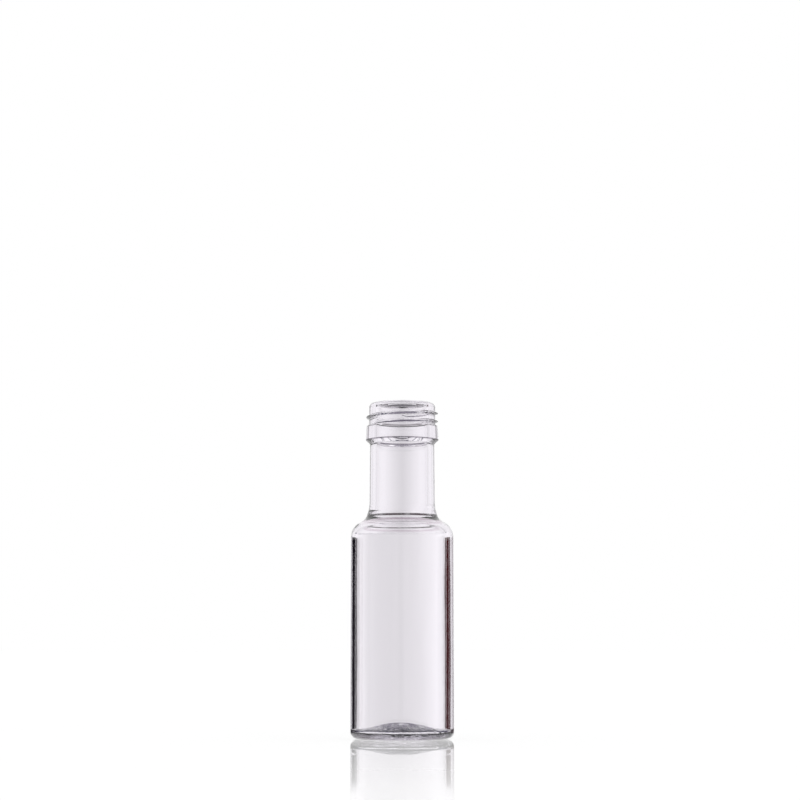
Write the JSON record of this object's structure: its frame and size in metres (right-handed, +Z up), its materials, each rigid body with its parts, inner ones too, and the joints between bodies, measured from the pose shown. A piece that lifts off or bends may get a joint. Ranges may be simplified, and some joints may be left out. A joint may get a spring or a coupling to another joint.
{
  "type": "glass bottle",
  "caption": "Empty clear glass oil bottle with a straight round body, sloping shoulder, tall neck and a threaded screw finish over a tamper bead.",
  "frame": {"origin": "on the floor plane, in the middle of the base, where the bottle's axis meets the surface it stands on", "axes": "+Z up along the bottle's axis from base to lip, -Y towards the viewer, +X to the viewer's right"},
  "size_m": [0.0426, 0.0426, 0.1385],
  "materials": {
    "glass": "clear flint glass, fire polished"
  },
  "bodies": {
    "root": {"bottle": "glass"}
  },
  "joints": []
}
